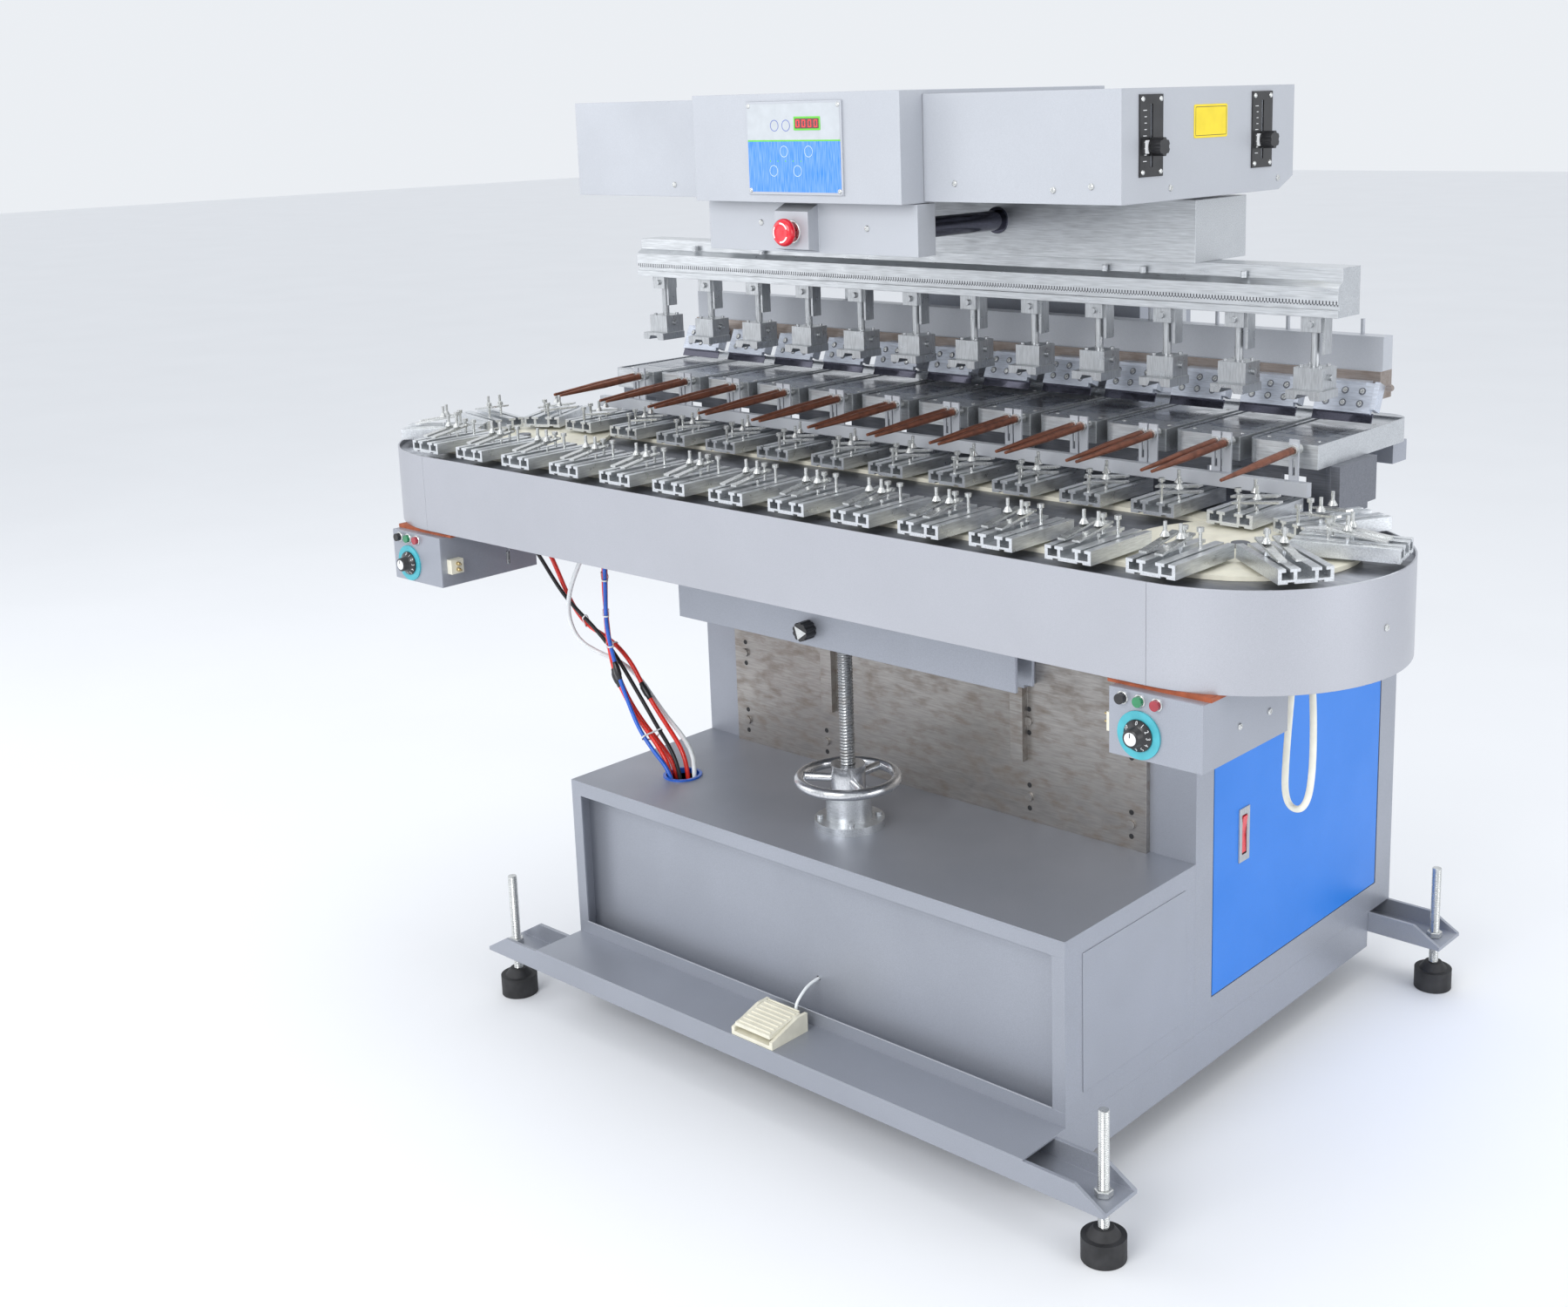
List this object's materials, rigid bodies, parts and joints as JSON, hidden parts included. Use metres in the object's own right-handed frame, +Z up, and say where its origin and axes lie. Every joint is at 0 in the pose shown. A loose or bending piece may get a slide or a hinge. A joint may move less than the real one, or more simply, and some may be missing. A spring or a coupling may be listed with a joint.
{
  "type": "pad printing machine",
  "caption": "Floor-standing pneumatic pad printer: oval fixture carousel on a height screw, sliding head with pad beam and ink bar, trays, covers and cabinets.",
  "frame": {"origin": "middle of the footprint on the floor", "axes": "+X along the carousel to the right seen from the front, +Y to the rear, +Z up"},
  "size_m": [1.842, 1.109, 1.518],
  "materials": {
    "azure": "azure blue paint",
    "black_cable": "black cable",
    "black_plastic": "black plastic",
    "blue_hose": "blue hose",
    "bright_steel": "polished steel",
    "copper": "tarnished copper",
    "cover_grey": "light grey powder coat",
    "cream": "cream enamel",
    "dark_steel": "dark polished steel",
    "green_lens": "lamp lens",
    "ground_steel": "ground steel",
    "machined": "machined aluminium",
    "panel_grey": "fine hammered silver-grey paint",
    "red_hose": "red hose",
    "red_plastic": "red plastic",
    "rubber": "black rubber",
    "white_hose": "white hose"
  },
  "bodies": {
    "machine_frame": {"base_plate_and_skirts": "panel_grey", "outriggers": "panel_grey", "levelling_screws": "bright_steel", "rubber_feet": "rubber", "lower_cabinet_panels": "panel_grey", "pedal_housing": "cream", "rear_cabinet_panels": "panel_grey", "slide_plate": "ground_steel", "bearing_flange": "machined", "printing_column": "panel_grey", "tray_beam": "dark_steel", "guide_rods": "dark_steel", "ink_trays": "machined", "nozzle_rail": "cover_grey", "air_tubes": "copper", "side_covers": "cover_grey", "control_box": "cover_grey", "slider_plates": "black_plastic", "front_bracket_box": "cover_grey", "red_air_hoses": "red_hose", "blue_air_hose": "blue_hose", "heater_power_cable": "black_cable", "heater_supply_hose": "red_hose", "white_spare_hose": "white_hose", "pedal_cable": "white_hose"},
    "carousel": {"lift_channel": "panel_grey", "height_screw": "bright_steel", "straight_skirts": "panel_grey", "end_skirts": "panel_grey", "carousel_pan": "dark_steel", "carousel_deck": "dark_steel", "chain_strips": "cream", "heater_boxes": "panel_grey", "indicator_lamps": "green_lens", "right_spare_hose": "white_hose"},
    "handwheel": {"handwheel": "machined"},
    "front_row": {"front_row_fixtures": "machined", "front_row_clamps": "bright_steel"},
    "back_row": {"back_row_fixtures": "machined", "back_row_clamps": "bright_steel"},
    "right_wheel": {"right_end_wheel": "cream", "right_wheel_fixtures": "machined"},
    "left_wheel": {"left_end_wheel": "cream", "left_wheel_fixtures": "machined"},
    "head": {"head_block": "machined"},
    "pad_beam": {"pad_beam": "machined", "pad_holders": "machined"},
    "ink_bar": {"ink_bar": "ground_steel", "doctor_holders": "machined"},
    "side_door": {"blue_side_door": "azure"},
    "switch_rocker": {"switch_rocker": "red_plastic"},
    "pedal_tread": {"pedal_tread": "cream"},
    "lock_knob": {"lock_knob": "ground_steel"},
    "temperature_dial_left": {"temperature_dial_left": "black_plastic"},
    "temperature_dial_right": {"temperature_dial_right": "black_plastic"},
    "start_button_left": {"start_button_left": "black_plastic"},
    "start_button_right": {"start_button_right": "black_plastic"},
    "speed_knob_front": {"speed_knob_front": "black_plastic"},
    "speed_knob_rear": {"speed_knob_rear": "black_plastic"},
    "estop_button": {"estop_button": "red_plastic"}
  },
  "joints": [
    {"name": "carousel_lift", "type": "slide", "parent": "machine_frame", "child": "carousel", "axis": [0, 0, 1], "range_m": [-0.04, 0.006]},
    {"name": "handwheel_turn", "type": "hinge", "parent": "machine_frame", "child": "handwheel", "pos_m": [0, -0.2775, 0.474], "axis": [0, 0, 1], "range_deg": [-2890, 442]},
    {"name": "front_row_index", "type": "slide", "parent": "carousel", "child": "front_row", "axis": [1, 0, 0], "range_m": [0, 0.059]},
    {"name": "back_row_index", "type": "slide", "parent": "carousel", "child": "back_row", "axis": [-1, 0, 0], "range_m": [0, 0.0595]},
    {"name": "right_wheel_turn", "type": "hinge", "parent": "carousel", "child": "right_wheel", "pos_m": [0.708, -0.3115, 0.95], "axis": [0, 0, 1], "range_deg": [0, 26.01]},
    {"name": "left_wheel_turn", "type": "hinge", "parent": "carousel", "child": "left_wheel", "pos_m": [-0.708, -0.3115, 0.95], "axis": [0, 0, 1], "range_deg": [0, 26.01]},
    {"name": "head_traverse", "type": "slide", "parent": "machine_frame", "child": "head", "axis": [0, -1, 0], "range_m": [0, 0.153]},
    {"name": "pad_beam_drop", "type": "slide", "parent": "head", "child": "pad_beam", "axis": [0, 0, -1], "range_m": [0, 0.04]},
    {"name": "ink_bar_lift", "type": "slide", "parent": "head", "child": "ink_bar", "axis": [0, 0, 1], "range_m": [0, 0.012]},
    {"name": "side_door_hinge", "type": "hinge", "parent": "machine_frame", "child": "side_door", "pos_m": [0.504, 0.4895, 0.424], "axis": [0, 0, 1], "range_deg": [0, 90]},
    {"name": "switch_rock", "type": "hinge", "parent": "side_door", "child": "switch_rocker", "pos_m": [0.504, 0.0515, 0.401], "axis": [0, -1, 0], "range_deg": [0, 8]},
    {"name": "pedal_press", "type": "hinge", "parent": "machine_frame", "child": "pedal_tread", "pos_m": [0, -0.4485, 0.144], "axis": [1, 0, 0], "range_deg": [0, 6], "stiffness_Nm_per_rad": 8, "springref_deg": -8.59},
    {"name": "lock_knob_turn", "type": "hinge", "parent": "carousel", "child": "lock_knob", "pos_m": [-0.052, -0.3075, 0.711], "axis": [0, -1, 0], "continuous": true},
    {"name": "temperature_dial_left_turn", "type": "hinge", "parent": "carousel", "child": "temperature_dial_left", "pos_m": [-0.75, -0.5425, 0.764], "axis": [0, 1, 0], "range_deg": [0, 300]},
    {"name": "temperature_dial_right_turn", "type": "hinge", "parent": "carousel", "child": "temperature_dial_right", "pos_m": [0.706, -0.5425, 0.764], "axis": [0, 1, 0], "range_deg": [0, 300]},
    {"name": "start_button_left_press", "type": "slide", "parent": "carousel", "child": "start_button_left", "axis": [0, 1, 0], "range_m": [0, 0.003], "stiffness_N_per_m": 300, "springref_m": -0.001},
    {"name": "start_button_right_press", "type": "slide", "parent": "carousel", "child": "start_button_right", "axis": [0, 1, 0], "range_m": [0, 0.003], "stiffness_N_per_m": 300, "springref_m": -0.001},
    {"name": "speed_knob_front_slide", "type": "slide", "parent": "machine_frame", "child": "speed_knob_front", "axis": [0, 0, 1], "range_m": [-0.022, 0.048]},
    {"name": "speed_knob_rear_slide", "type": "slide", "parent": "machine_frame", "child": "speed_knob_rear", "axis": [0, 0, 1], "range_m": [-0.022, 0.048]},
    {"name": "estop_press", "type": "slide", "parent": "machine_frame", "child": "estop_button", "axis": [0, 1, 0], "range_m": [0, 0.006], "stiffness_N_per_m": 800, "springref_m": -0.002}
  ],
  "couplings": [
    {"joint": "handwheel_turn", "follows": "carousel_lift", "rad_per_m": 1256.6},
    {"joint": "back_row_index", "follows": "front_row_index", "ratio": 1},
    {"joint": "right_wheel_turn", "follows": "front_row_index", "rad_per_m": 7.6068},
    {"joint": "left_wheel_turn", "follows": "front_row_index", "rad_per_m": 7.6068}
  ]
}
